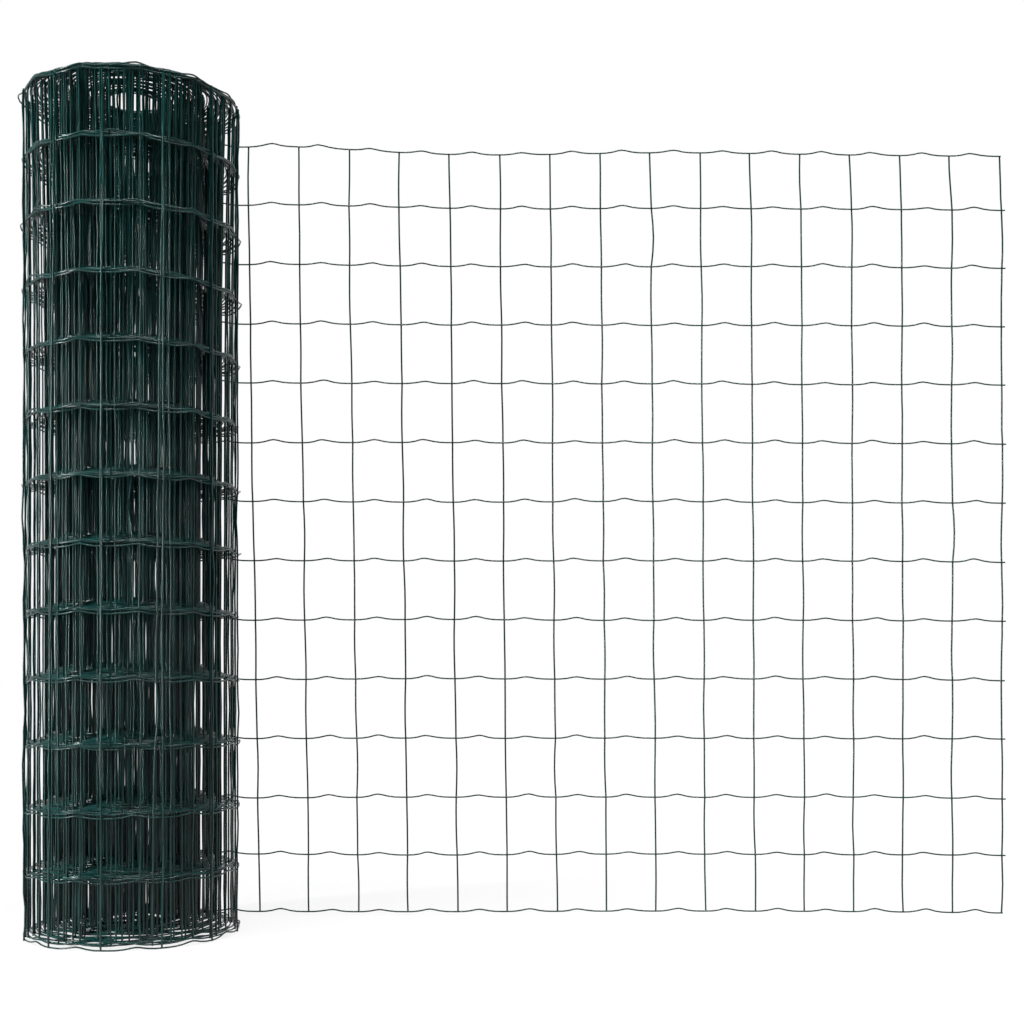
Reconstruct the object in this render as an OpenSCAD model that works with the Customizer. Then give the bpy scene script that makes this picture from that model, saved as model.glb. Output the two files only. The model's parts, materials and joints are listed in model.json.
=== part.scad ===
// Roll of welded wire fencing, standing on its end with its last metre unrolled.
// Origin: the core's axis at floor level. +Z is up the roll, +X runs along the unrolled end.

/* [Mesh] */
// Diameter of the line wires, which run along the sheet, over their green coating
wire_d = 1.9; // [1.4:0.1:3]
// Diameter of the stay wires, which run up the sheet, over their green coating
stay_d = 2.2; // [1.4:0.1:3]
// Width of a mesh cell, from stay wire to stay wire
cell_w = 64.8; // [50:0.1:100]
// Height of a mesh cell, from line wire to line wire
cell_h = 76.6; // [50:0.1:100]
// Height of the cells next to the bottom edge, which are a little lower than the rest
low_cell_h = 74; // [50:0.1:100]
// Number of those lower cells
low_cells = 2; // [0:1:5]
// Number of cells between the bottom edge and the top edge
cell_rows = 13; // [6:1:24]
// How far a stay wire is sunk into a line wire at each weld
weld_bite = 0.3; // [0.1:0.1:0.8]
// Rise of the crimp that a line wire has in each cell
crimp_rise = 3.5; // [1:0.5:8]
// Length along the line wire that each crimp takes up
crimp_l = 34; // [16:1:40]
// Place of the crimp in the cell, as a share of the cell's width from the stay wire nearer the roll
crimp_place = 0.42; // [0.4:0.01:0.6]

/* [Roll] */
// Outside diameter of the roll
roll_d = 252; // [180:1:360]
// Diameter of the open core that the innermost turn leaves
core_d = 56; // [40:1:110]
// Number of turns that show on each end of the roll
turns = 27; // [10:1:32]
// Depth of the gaps between the turns, on both ends of the roll
turn_gap_depth = 6; // [2:0.5:20]
// How far the turns halfway to the core have slipped up past the outermost turn
turn_rise = 15; // [0:1:25]

/* [Unrolled end] */
// Number of stay wires on the unrolled end
stays = 17; // [4:1:26]
// Distance to the first stay wire from the line where the sheet leaves the roll
first_stay = 58.2; // [10:0.1:64]
// Length of the line wires that stands out past the last stay wire
line_stub = 4; // [1:0.5:15]

/* [Hidden] */

coating = "#1b4a40";
wire_sides = 8;
// Straight steps on each side of a crimp
crimp_steps = 3;

sheet_h = row_z(cell_rows) + wire_d / 2;
roll_r = roll_d / 2;
core_r = core_d / 2;
turn_pitch = (roll_r - core_r - wire_d) / (turns - 1);
last_stay = first_stay + (stays - 1) * cell_w;

// Height of a line wire's centre, counted upwards from the bottom edge
function row_z(row) =
    wire_d / 2 + min(row, low_cells) * low_cell_h + max(row - low_cells, 0) * cell_h;

// Inside radius of a turn, counted outwards from the core
function turn_r(i) = core_r + i * turn_pitch;

// How far a turn has slipped up: nothing at the core and at the outside, most halfway between them
function turn_up(i) = turn_rise * sin(180 * i / (turns - 1));

// Outline of one end of the roll, from the core outwards: the turns' edges and the gaps between them
function end_outline(z, gap) = [
    for (i = [0 : turns - 1]) each concat(
        i == 0 ? [] : [[turn_r(i), z + turn_up(i) + gap]],
        [[turn_r(i), z + turn_up(i)], [turn_r(i) + wire_d, z + turn_up(i)]],
        i == turns - 1 ? [] : [[turn_r(i) + wire_d, z + turn_up(i) + gap]]
    )
];

function reversed(points) = [for (i = [len(points) - 1 : -1 : 0]) points[i]];

module rolled_turns() {
    color(coating)
        rotate_extrude($fn = 180)
            polygon(concat(
                end_outline(0, turn_gap_depth),
                reversed(end_outline(sheet_h, -turn_gap_depth))
            ));
}

// Rise of a line wire at a distance from the middle of a crimp: a bell shape
function crimp_up(d) =
    abs(d) < crimp_l / 2 ? crimp_rise * (1 + cos(360 * d / crimp_l)) / 2 : 0;

// Place of the middle of the crimp in the cell before a stay wire
function crimp_x(stay) = first_stay + (stay - 1 + crimp_place) * cell_w;

// Centreline of a line wire: straight from stay to stay, with a crimp in each cell
function line_path(x_end) = concat(
    [[0, crimp_up(crimp_x(0))]],
    [
        for (stay = [0 : stays - 1], step = [-crimp_steps : crimp_steps])
            let (d = step / crimp_steps * crimp_l / 2, x = crimp_x(stay) + d)
                if (x > 0.1) [x, crimp_up(d)]
    ],
    [[x_end, 0]]
);

// A line wire of square section, with its inner face on the plane y = roll_r
module line_wire(row) {
    edge_row = row == 0 || row == cell_rows;
    path = line_path(last_stay + (edge_row ? wire_d / 2 : line_stub));
    lower = [for (p = path) p - [0, wire_d / 2]];
    upper = [for (i = [len(path) - 1 : -1 : 0]) path[i] + [0, wire_d / 2]];
    translate([0, roll_r + wire_d, row_z(row)])
        rotate([90, 0, 0])
            linear_extrude(height = wire_d)
                polygon(concat(lower, upper));
}

// A stay wire, on the side of the line wires that faces outwards on the roll
module stay_wire(stay) {
    translate([first_stay + stay * cell_w, roll_r + wire_d + stay_d / 2 - weld_bite, 0])
        rotate(180 / wire_sides)
            cylinder(h = sheet_h, d = stay_d / cos(180 / wire_sides), $fn = wire_sides);
}

module unrolled_sheet() {
    color(coating)
        union() {
            for (row = [0 : cell_rows]) line_wire(row);
            for (stay = [0 : stays - 1]) stay_wire(stay);
        }
}

rolled_turns();
unrolled_sheet();
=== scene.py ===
# %% [markdown]
# # A roll of green wire fencing
#
# This lesson dresses a roll of welded garden fencing. The sheet stands on its edge: most of it is wound up
# as a roll, and the last metre is unrolled as a flat leaf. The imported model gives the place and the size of
# both. Here they are drawn again wire by wire, because what makes a roll of fencing look real is that one
# can see into it, past turn after turn of thin wire.

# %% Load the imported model
import bisect
import json
import math
import random

import bmesh
import bpy
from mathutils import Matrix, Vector, noise


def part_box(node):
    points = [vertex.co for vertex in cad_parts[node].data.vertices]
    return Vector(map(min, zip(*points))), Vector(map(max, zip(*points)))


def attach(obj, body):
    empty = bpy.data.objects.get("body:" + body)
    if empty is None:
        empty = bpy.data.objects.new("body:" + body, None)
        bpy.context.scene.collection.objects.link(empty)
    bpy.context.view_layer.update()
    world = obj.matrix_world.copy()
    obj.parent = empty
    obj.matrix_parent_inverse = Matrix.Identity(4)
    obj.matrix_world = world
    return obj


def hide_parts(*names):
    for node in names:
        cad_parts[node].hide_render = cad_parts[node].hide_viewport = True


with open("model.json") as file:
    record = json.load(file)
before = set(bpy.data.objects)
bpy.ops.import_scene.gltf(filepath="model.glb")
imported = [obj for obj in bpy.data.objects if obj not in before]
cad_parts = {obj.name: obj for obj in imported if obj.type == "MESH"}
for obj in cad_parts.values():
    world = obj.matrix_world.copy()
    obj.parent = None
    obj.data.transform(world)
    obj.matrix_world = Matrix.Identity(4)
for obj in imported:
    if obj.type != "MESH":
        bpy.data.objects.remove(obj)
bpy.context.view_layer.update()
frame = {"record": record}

# %% [markdown]
# ## Reading the sheet's sizes
#
# The wires, the cell's width and the low cells at the bottom edge are written here as they are in the
# model's source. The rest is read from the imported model. The record's bore gives the open core and the
# height of the sheet, and the roll's solid shows how far its turns have slipped up past that height. The
# leaf's solid gives the line where the sheet leaves the roll and the place of the last stay wire. Line wires
# run along the sheet, and stay wires run up it, on the side that faces outwards on the roll.

# %% Sizes of the sheet, in metres
wire_d = 0.0019
stay_d = 0.0022
weld_bite = 0.0003
line_stub = 0.004
cell_rows = 13
cell_w = 0.0648
low_cells = 2
low_cell_h = 0.074

roll_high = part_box("rolled_turns")[1]
leaf_low, leaf_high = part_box("unrolled_sheet")
core = next(mount for mount in frame["record"]["mounts"] if mount["name"] == "core_bore")["dims"]
core_r = core["r_mm"] / 1000
sheet_h = core["length_mm"] / 1000

wire_r = wire_d / 2
stay_r = stay_d / 2
turn_rise = roll_high.z - sheet_h
stay_out = wire_r + stay_r - weld_bite
leave_r = leaf_low.y + wire_r
last_stay_x = leaf_high.x - line_stub

cell_h = (sheet_h - wire_d - low_cells * low_cell_h) / (cell_rows - low_cells)
row_up = [wire_r]
for row in range(cell_rows):
    row_up.append(row_up[-1] + (low_cell_h if row < low_cells else cell_h))

# %% [markdown]
# ## How the sheet is wound
#
# The stays of one turn sink into the cells of the next, so the outer turns lie little more than one wire
# apart. Further in the sheet is wound tighter, and the turns close up to less than one wire. The spiral is
# walked once, in small steps of angle, and every step notes how much sheet it has taken up.

# %% Walk the spiral from the outside to the core
# Spacing of the loose turns outside and of the tight turns inside
outer_pitch = 0.00258
inner_pitch = 0.00172
# Depth to which the turns are loose, and the depth that they then need to close up
loose_depth = 0.020
closing_depth = 0.015
angle_step = math.radians(3)

inner_r = core_r + wire_r
walk_along = [0.0]
walk_radius = [leave_r]
while walk_radius[-1] > inner_r:
    closed = min(1, max(0, (leave_r - walk_radius[-1] - loose_depth) / closing_depth))
    pitch = outer_pitch + (inner_pitch - outer_pitch) * closed
    walk_radius.append(walk_radius[-1] - pitch * angle_step / (2 * math.pi))
    walk_along.append(walk_along[-1] + angle_step * (walk_radius[-1] + walk_radius[-2]) / 2)

stay_count = int((last_stay_x + walk_along[-1]) / cell_w) + 1
print(f"{walk_along[-1] + last_stay_x:.1f} m of sheet, {stay_count} stay wires,",
      f"{len(walk_along) * angle_step / (2 * math.pi):.1f} turns")


def spiral(along):
    """Angle and radius of the spiral after a length of sheet."""
    step = min(bisect.bisect_right(walk_along, along), len(walk_along) - 1)
    share = (along - walk_along[step - 1]) / (walk_along[step] - walk_along[step - 1])
    radius = walk_radius[step - 1] + share * (walk_radius[step] - walk_radius[step - 1])
    return (step - 1 + share) * angle_step, radius


# %% [markdown]
# ## A sheet that knows how it is wound
#
# Every wire is drawn on the flat sheet first: so far along it, so high, and so far out from it. One
# function then bends the sheet. Before the line where it leaves the roll it is straight, and after that line
# it follows the spiral. The turns have also slipped up past each other, the middle ones by as much as the
# roll's solid shows, and near the top the outer turns are wound tighter. The top edge of the leaf hangs in a
# slow wave.

# %% How far the sheet strays from its place
# Leaf: its lift off the floor, the wave and the fall of its top edge, and the sag of its bottom edge
leaf_lift = 0.0027
edge_wave = 0.0058
edge_wave_crest = 0.17
edge_wave_rate = 11
edge_wave_fade = 3
edge_fall = 0.004
edge_drop = 0.0018
end_sag = 0.0026

# Leaf, across its plane: a slow wave, a swing out to the free end from a slight tuck, and a curl of the top
# row of cells, all of which set in over a length from the roll
leaf_wave = 0.0015
leaf_swing = 0.008
leaf_tuck = 0.003
top_curl = 0.010
leaving_l = 0.2

# Roll: rise of the first turns, a small step where the sheet leaves, lift of the core, and a shuffle of the
# turns, which sets in over a number of turns
first_rise = 0.0017
first_step = 0.0007
core_lift = 0.0045
turn_shuffle = 0.0025
shuffle_turns = 16

# Roll: how much tighter the outer turns are at the top, how deep that reaches, and how uneven a turn is
top_tightness = 0.55
tight_depth = 0.03
turn_waver = 0.0006

# Lanes of noise, one for each thing that wavers
leaf_lane = 1
turn_lane = 2
shuffle_lane = 3
stay_lane = 4
bow_lane = 5
line_lane = 6


# %% Bend the flat sheet into leaf and spiral
def smooth_noise(along, lane, size):
    """Slow random wave of the given size; each lane is another wave."""
    return size * noise.noise(Vector((along, 7.3 * lane + 0.37, 2.1)))


def slip(along, up):
    """How far a point of the sheet has slipped up or down from its place."""
    if along <= 0:
        x = -along
        off_crest = x - edge_wave_crest
        wave = edge_wave * math.cos(edge_wave_rate * off_crest) * math.exp(-edge_wave_fade * abs(off_crest))
        wave = wave - edge_fall * x - edge_drop
        sag = end_sag * (x / last_stay_x) ** 6
        return leaf_lift + wave * (up / sheet_h) ** 8 - sag * (1 - up / sheet_h)
    angle, radius = spiral(along)
    turn = angle / (2 * math.pi)
    first_turns = first_rise * (1 - math.cos(math.pi * (min(turn, 1.5) - 0.5)))
    first_turns += first_step * max(0, 1 - 2 * turn)
    depth = (leave_r - radius) / (leave_r - inner_r)
    middle_turns = turn_rise * math.sin(math.pi * depth ** 1.3) + core_lift * depth ** 2
    shuffle = smooth_noise(0.9 * turn, shuffle_lane, turn_shuffle) * min(1, turn / shuffle_turns)
    return first_turns + middle_turns + shuffle


def sheet_point(along, up, out):
    """Place on the object of a point of the flat sheet; along is 0 where the sheet leaves the roll."""
    height = max(wire_r, up + slip(along, up))
    if along <= 0:
        wave = smooth_noise(2.2 * along + up, leaf_lane, leaf_wave)
        swing = leaf_swing * -along / last_stay_x - leaf_tuck
        curl = top_curl * max(0, (up - row_up[-2]) / cell_h)
        return (-along, leave_r + out + (wave + swing + curl) * min(1, -along / leaving_l), height)
    angle, radius = spiral(along)
    depth = leave_r - radius
    tighter = top_tightness * depth * math.exp(-depth / tight_depth) * (up / sheet_h) ** 5
    radius += out + tighter + smooth_noise(3 * angle / math.pi, turn_lane, turn_waver)
    return (-radius * math.sin(angle), radius * math.cos(angle), height)


# %% [markdown]
# ## Stay wires
#
# The stays are never quite straight. Each leans a little and wanders, and between two welds it bows. On the
# leaf and the first turn, which nothing holds down, it bows in and out about twice as far. On the leaf the
# lean is a pull from the roll, so it fades towards the free end.

# %% Places of the stay wires
# Number of stays on the leaf, up to the end of the first turn, and up to the end of the outer turns, which
# are drawn more finely
outer_turn_stays = 60
leaf_stays = int(last_stay_x / cell_w) + 1
first_turn_stays = leaf_stays + int(2 * math.pi * leave_r / cell_w)
outer_stays = leaf_stays + outer_turn_stays

# Jog of a stay along the sheet; its lean and its bows, which are small on most stays and strong on a few
jog_size = 0.001
slight_lean = 0.0015
strong_lean = 0.008
strong_lean_share = 0.2
slight_bow = 0.0004
strong_bow = 0.002
strong_bow_share = 0.03
dice = random.Random(6)


def slight_or_strong(slight, strong, strong_share):
    """Random value of one of two sizes."""
    size = strong if dice.random() < strong_share else slight
    return dice.gauss(0, size)


stay_jog = [dice.gauss(0, jog_size) for _ in range(stay_count)]
stay_lean = [slight_or_strong(slight_lean, strong_lean, strong_lean_share) for _ in range(stay_count)]
stay_bow = [
    [slight_or_strong(slight_bow, strong_bow, strong_bow_share) for _ in range(cell_rows)]
    for _ in range(stay_count)
]

# Wander of a stay on the leaf and on the roll, how far the roll pulls the leaf's stays over, and the length
# from the roll in which that pull sets in
leaf_wander = 0.0014
roll_wander = 0.0015
leaf_pull = 0.0175
pull_start_l = 0.12

# How far a stay springs in and out between two welds, and how far a line wire drifts up and down
free_spring = 0.0035
held_spring = 0.0016
line_waver = 0.0012


# %% Centrelines of the stay wires
def stay_along(index, up):
    """Distance along the sheet of a stay wire at a height."""
    nominal = index * cell_w - last_stay_x
    height = up / sheet_h - 0.5
    if nominal <= 0:
        pull = leaf_pull * (1 + nominal / last_stay_x) * min(1, -nominal / pull_start_l)
        return nominal + pull * height + smooth_noise(9 * up + index, stay_lane, leaf_wander)
    wander = smooth_noise(9 * up + 3 * index, stay_lane, roll_wander)
    return nominal + stay_jog[index] + stay_lean[index] * height + wander


def line_drift(row, along):
    """How far a line wire lies above its place, at a distance along the sheet."""
    return smooth_noise(4 * along + 5 * row, line_lane, line_waver)


def stay_path(index, steps):
    """Centreline of one stay wire, from the bottom edge to the top edge."""
    points = []
    for row in range(cell_rows):
        for step in range(steps):
            up = row_up[row] + (row_up[row + 1] - row_up[row]) * step / steps
            points.append((up, row, math.sin(math.pi * step / steps)))
    points.append((row_up[-1], 0, 0))
    path = []
    spring = free_spring if index < first_turn_stays else held_spring
    for up, row, share in points:
        along = stay_along(index, up) + stay_bow[index][row] * share
        bow = smooth_noise(17 * up + 5 * index, bow_lane, spring) * share
        end = 0
        if up == row_up[0]:
            end = line_drift(0, along) - wire_r
        if up == row_up[-1]:
            end = line_drift(cell_rows, along)
        path.append(sheet_point(along, up + end, stay_out + bow))
    return path


# %% [markdown]
# ## Line wires
#
# A line wire has a small crimp in every cell, which lets the fence be pulled tight. The crimp is a lopsided
# tent with soft kinks. No two are the same height. On the roll they get flatter past the second turn, and
# each is also pushed in or out.

# %% Places of the line wires
# Form of a crimp, on the outer turns and more plainly inside: share of the cell's width, share of the rise
crimp_form = (
    (0, 0), (0.12, 0.01), (0.24, 0.08), (0.37, 0.36), (0.48, 0.80),
    (0.56, 1.0), (0.63, 0.86), (0.75, 0.36), (0.88, 0.06),
)
plain_form = ((0, 0), (0.24, 0.08), (0.44, 0.70), (0.56, 1.0), (0.68, 0.62), (0.84, 0.10))
# Rise of a crimp, the share of it that every turn of the roll keeps, the share that fades further in, and
# the half turns before it does
crimp_rise = 0.0036
kept_share = 0.4
fading_share = 0.5
half_turns_unfaded = 4
# How far a crimp is pushed in or out, and how much of that is left on the inner turns
crimp_out = 0.0025
inner_looseness = 0.4
crimp_dice = random.Random(23)
crimp_size = [[crimp_dice.uniform(0.75, 1.2) for _ in range(stay_count)] for _ in row_up]
crimp_push = [[crimp_dice.gauss(0.2, 1.0) for _ in range(stay_count)] for _ in row_up]
crimp_shift = [[crimp_dice.gauss(0, 0.025) for _ in range(stay_count)] for _ in row_up]


def line_path(row, first, last):
    """Centreline of one line wire, from stay to stay."""
    points = []
    for index in range(first, last):
        start = stay_along(index, row_up[row])
        end = stay_along(index + 1, row_up[row])
        loose = 1.0 if index < outer_stays else inner_looseness
        rise = crimp_rise * crimp_size[row][index]
        if start > 0:
            half_turns = spiral(start)[0] / math.pi
            rise *= kept_share + fading_share * math.exp(-max(0, half_turns - half_turns_unfaded))
        push = crimp_out * loose * crimp_push[row][index] * min(1, max(0, start / leaving_l))
        for share, height in crimp_form if index < outer_stays else plain_form:
            along = start + (share + crimp_shift[row][index] * height) * (end - start)
            up = row_up[row] + rise * height + line_drift(row, along)
            points.append(sheet_point(along, up, push * math.sin(math.pi * share) ** 2))
    along = stay_along(last, row_up[row])
    points.append(sheet_point(along, row_up[row] + line_drift(row, along), 0.0))
    return points


# %% [markdown]
# ## From centrelines to wire
#
# A curve with a round bevel is the natural tool for wire: it sweeps a ring along each path and closes the
# ends. The wires of one piece are splines of one curve, which is then turned into a mesh.

# %% Draw wires as one mesh
def draw_wires(name, paths, radius, sides):
    """One mesh of round wires along the given centrelines."""
    curve = bpy.data.curves.new(name, "CURVE")
    curve.dimensions = "3D"
    curve.bevel_depth = radius
    curve.bevel_resolution = (sides - 4) // 2
    curve.use_fill_caps = True
    for path in paths:
        spline = curve.splines.new("POLY")
        spline.points.add(len(path) - 1)
        spline.points.foreach_set("co", [value for point in path for value in (*point, 1.0)])
    holder = bpy.data.objects.new(name + "_curve", curve)
    bpy.context.scene.collection.objects.link(holder)
    graph = bpy.context.evaluated_depsgraph_get()
    mesh = bpy.data.meshes.new_from_object(holder.evaluated_get(graph))
    bpy.data.objects.remove(holder)
    bpy.data.curves.remove(curve)
    shape = bmesh.new()
    shape.from_mesh(mesh)
    bmesh.ops.remove_doubles(shape, verts=shape.verts, dist=1e-6)
    bmesh.ops.recalc_face_normals(shape, faces=shape.faces)
    shape.to_mesh(mesh)
    triangles = sum(len(face.verts) - 2 for face in shape.faces)
    shape.free()
    mesh.name = name
    mesh.shade_smooth()
    mesh.set_sharp_from_angle(angle=math.radians(75))
    piece = bpy.data.objects.new(name, mesh)
    bpy.context.scene.collection.objects.link(piece)
    print(name, len(paths), "wires,", triangles, "triangles")
    return piece


# %% Make the wires of leaf and roll
rows = range(cell_rows + 1)
half_rows = len(rows) // 2
# Sides of a wire and steps in a cell, where the wires are seen well and where they are deep in the roll
near_sides = 8
near_steps = 4
deep_sides = 6
deep_steps = 2


def with_stub(path, row):
    """Adds the cut end that stands out past the last stay wire."""
    x, y, z = path[0]
    length = wire_r if row in (0, cell_rows) else line_stub
    return [(x + length, y, z)] + path


def lines(some_rows, first, last):
    """Paths of line wires between two stays."""
    return [line_path(row, first, last) for row in some_rows]


def stays(first, end, steps):
    """Paths of the stay wires from the first to the one before the end."""
    return [stay_path(index, steps) for index in range(first, end)]


leaf_lines = [with_stub(line_path(row, 0, leaf_stays), row) for row in rows]
low_lines = lines(rows[:half_rows], outer_stays, stay_count - 1)
high_lines = lines(rows[half_rows:], outer_stays, stay_count - 1)
pieces = [
    draw_wires("leaf_line_wires", leaf_lines, wire_r, near_sides),
    draw_wires("leaf_stay_wires", stays(0, leaf_stays, near_steps), stay_r, near_sides),
    draw_wires("outer_line_wires", lines(rows, leaf_stays, outer_stays), wire_r, near_sides),
    draw_wires("outer_stay_wires", stays(leaf_stays, outer_stays, near_steps), stay_r, near_sides),
    draw_wires("inner_line_wires_low", low_lines, wire_r, deep_sides),
    draw_wires("inner_line_wires_high", high_lines, wire_r, deep_sides),
    draw_wires("inner_stay_wires", stays(outer_stays, stay_count, deep_steps), stay_r, deep_sides),
]

# %% [markdown]
# ## The green coating
#
# The coat is a dark green plastic with a satin sheen. Its tone drifts slowly from place to place, its gloss
# is uneven, and a fine grain catches the light.

# %% Helpers for materials
def object_noise(nodes, links, scale, detail):
    """Noise on the object's own coordinates."""
    place = nodes.new("ShaderNodeTexCoord")
    texture = nodes.new("ShaderNodeTexNoise")
    texture.inputs["Scale"].default_value = scale
    texture.inputs["Detail"].default_value = detail
    links.new(place.outputs["Object"], texture.inputs["Vector"])
    return texture.outputs["Fac"]


def map_range(nodes, links, value, start, end, low, high):
    """Value that goes from low to high while the given one goes from start to end."""
    node = nodes.new("ShaderNodeMapRange")
    node.inputs["From Min"].default_value = start
    node.inputs["From Max"].default_value = end
    node.inputs["To Min"].default_value = low
    node.inputs["To Max"].default_value = high
    links.new(value, node.inputs["Value"])
    return node.outputs["Result"]


# %% Coating material
deep_green = (0.0027, 0.0253, 0.0233, 1)
light_green = (0.008, 0.0627, 0.0585, 1)


def green_coating():
    """Dark green satin plastic with slight drift of tone and gloss."""
    material = bpy.data.materials.new("green_coating")
    material.use_nodes = True
    nodes, links = material.node_tree.nodes, material.node_tree.links
    shader = nodes["Principled BSDF"]
    shader.inputs["IOR"].default_value = 1.39
    drift = object_noise(nodes, links, scale=35, detail=6)
    tone = nodes.new("ShaderNodeValToRGB")
    tone.color_ramp.elements[0].position = 0.3
    tone.color_ramp.elements[0].color = deep_green
    tone.color_ramp.elements[1].position = 0.72
    tone.color_ramp.elements[1].color = light_green
    links.new(drift, tone.inputs["Fac"])
    links.new(tone.outputs["Color"], shader.inputs["Base Color"])
    grain = object_noise(nodes, links, scale=900, detail=3)
    gloss = map_range(nodes, links, grain, start=0, end=1, low=0.10, high=0.26)
    links.new(gloss, shader.inputs["Roughness"])
    bump = nodes.new("ShaderNodeBump")
    bump.inputs["Strength"].default_value = 0.25
    bump.inputs["Distance"].default_value = 0.0002
    links.new(grain, bump.inputs["Height"])
    links.new(bump.outputs["Normal"], shader.inputs["Normal"])
    return material


coating = green_coating()
for piece in pieces:
    piece.data.materials.clear()
    piece.data.materials.append(coating)
    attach(piece, "root")
    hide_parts("unrolled_sheet" if piece.name.startswith("leaf") else "rolled_turns")

# %% [markdown]
# ## Floor, light and camera
#
# The picture has a white ground. The floor is a matt grey that also glows towards the camera, so it reads
# as white and still takes a faint shadow. The world is white to the camera too. The gloss of the wires
# mirrors this white only behind the object. On the camera's side the studio is dark, because white there
# would wash the dark green out to grey.
#
# Three soft boxes light the object. The main one stands on the left, so that its light grazes the roll and
# the inner turns stay dark. The long one overhead picks out the line wires, and the weak one on the right
# rounds off the far side.

# %% Rays that see the white ground
def math_node(nodes, links, operation, first, second):
    """Result of one calculation with two values."""
    node = nodes.new("ShaderNodeMath")
    node.operation = operation
    links.new(first, node.inputs[0])
    links.new(second, node.inputs[1])
    return node.outputs["Value"]


def ground_rays(nodes, links, backdrop):
    """1 for rays from the camera, and the given share for rays that a surface mirrors or lets through."""
    rays = nodes.new("ShaderNodeLightPath").outputs
    mirrored = math_node(nodes, links, "MAXIMUM", rays["Is Glossy Ray"], rays["Is Transmission Ray"])
    mirrored_white = math_node(nodes, links, "MULTIPLY", mirrored, backdrop)
    return math_node(nodes, links, "MAXIMUM", rays["Is Camera Ray"], mirrored_white)


def depth_of(nodes, links, vector):
    """The part of a vector that points away from the camera's side of the studio."""
    parts = nodes.new("ShaderNodeSeparateXYZ")
    links.new(vector, parts.inputs["Vector"])
    return parts.outputs["Y"]


# %% Floor
floor_r = 40
floor_gap = 0.0005
floor_mesh = bpy.data.meshes.new("floor")
shape = bmesh.new()
bmesh.ops.create_circle(shape, cap_ends=True, segments=96, radius=floor_r)
shape.to_mesh(floor_mesh)
shape.free()
floor = bpy.data.objects.new("floor", floor_mesh)
floor.location.z = -floor_gap
bpy.context.scene.collection.objects.link(floor)

pale = bpy.data.materials.new("pale_floor")
pale.use_nodes = True
nodes, links = pale.node_tree.nodes, pale.node_tree.links
nodes.remove(nodes["Principled BSDF"])
matt = nodes.new("ShaderNodeBsdfDiffuse")
matt.inputs["Color"].default_value = (0.2, 0.2, 0.2, 1)
glow = nodes.new("ShaderNodeEmission")
place = nodes.new("ShaderNodeTexCoord")
reach = nodes.new("ShaderNodeVectorMath")
reach.operation = "LENGTH"
links.new(place.outputs["Object"], reach.inputs[0])
fade = map_range(nodes, links, reach.outputs["Value"], start=0.5, end=3.0, low=0.83, high=1.0)
floor_depth = depth_of(nodes, links, place.outputs["Object"])
near = map_range(nodes, links, floor_depth, start=-1.2, end=-0.4, low=0, high=1)
level = math_node(nodes, links, "MULTIPLY", ground_rays(nodes, links, near), fade)
links.new(level, glow.inputs["Strength"])
both = nodes.new("ShaderNodeAddShader")
links.new(matt.outputs["BSDF"], both.inputs[0])
links.new(glow.outputs["Emission"], both.inputs[1])
links.new(both.outputs["Shader"], nodes["Material Output"].inputs["Surface"])
floor_mesh.materials.append(pale)

# %% World
world = bpy.data.worlds.new("studio")
bpy.context.scene.world = world
world.use_nodes = True
nodes, links = world.node_tree.nodes, world.node_tree.links
white = nodes["Background"]
white.inputs["Color"].default_value = (1, 1, 1, 1)
direction = nodes.new("ShaderNodeTexCoord").outputs["Generated"]
behind = map_range(nodes, links, depth_of(nodes, links, direction), start=0.1, end=0.5, low=0, high=1)
strength = map_range(nodes, links, ground_rays(nodes, links, behind), start=0, end=1, low=0.01, high=1)
links.new(strength, white.inputs["Strength"])

# %% Lamps
def add_lamp(name, place, aim, width, height, power):
    """Soft box that faces a point of the object."""
    data = bpy.data.lights.new(name, "AREA")
    data.shape = "RECTANGLE"
    data.size = width
    data.size_y = height
    data.energy = power
    lamp = bpy.data.objects.new(name, data)
    lamp.location = place
    lamp.rotation_euler = (Vector(aim) - Vector(place)).to_track_quat("-Z", "Y").to_euler()
    bpy.context.scene.collection.objects.link(lamp)


add_lamp("right_softbox", place=(2.9, -0.9, 0.75), aim=(0, 0, 0.4), width=0.3, height=1.4, power=9)
add_lamp("left_softbox", place=(-2.3, -1.3, 0.85), aim=(0, 0, 0.45), width=0.2, height=1.7, power=105)
add_lamp("top_softbox", place=(0.35, -0.75, 3.2), aim=(0.3, 0, 0.5), width=2.8, height=0.12, power=112)

# %% Camera
camera_data = bpy.data.cameras.new("camera")
camera_data.lens = 50.9
camera_data.sensor_width = 36
camera_data.shift_y = 0.157
camera = bpy.data.objects.new("camera", camera_data)
camera.location = (0.458, -1.750, 0.313)
camera.rotation_euler = (math.radians(90), 0, 0)
bpy.context.scene.collection.objects.link(camera)
bpy.context.scene.camera = camera
bpy.context.scene.view_settings.view_transform = "Standard"
